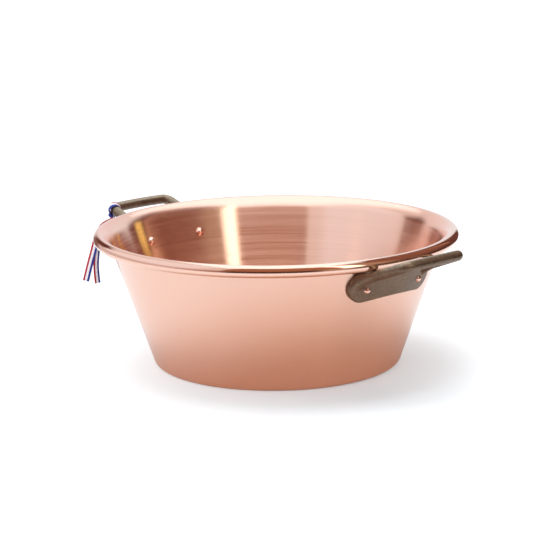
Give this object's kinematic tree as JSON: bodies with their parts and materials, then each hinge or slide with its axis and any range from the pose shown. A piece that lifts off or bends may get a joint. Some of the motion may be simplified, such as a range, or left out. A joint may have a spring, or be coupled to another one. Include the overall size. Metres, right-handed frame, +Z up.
{
  "type": "jam pan",
  "caption": "Wide copper jam pan with sloping sides, a rolled rim and riveted cast iron loop handles, with a striped ribbon tied to a handle.",
  "frame": {"origin": "middle of the underside of the flat base", "axes": "+Z up along the pan's axis, the loop handles at +X and -X, the ribbon on the -Y end of the -X handle"},
  "size_m": [0.4622, 0.38, 0.1441],
  "materials": {
    "copper": "spun and fine brushed copper",
    "cast_iron": "smooth bronzed cast iron",
    "rivet_copper": "polished copper",
    "ribbon": "woven ribbon striped red, white and blue"
  },
  "bodies": {
    "root": {"pan_body": "copper", "handle_right": "cast_iron", "handle_left": "cast_iron", "rivet_right_front": "rivet_copper", "rivet_right_back": "rivet_copper", "rivet_left_front": "rivet_copper", "rivet_left_back": "rivet_copper", "ribbon_knot": "ribbon", "ribbon_tail_front": "ribbon", "ribbon_tail_back": "ribbon"}
  },
  "joints": []
}
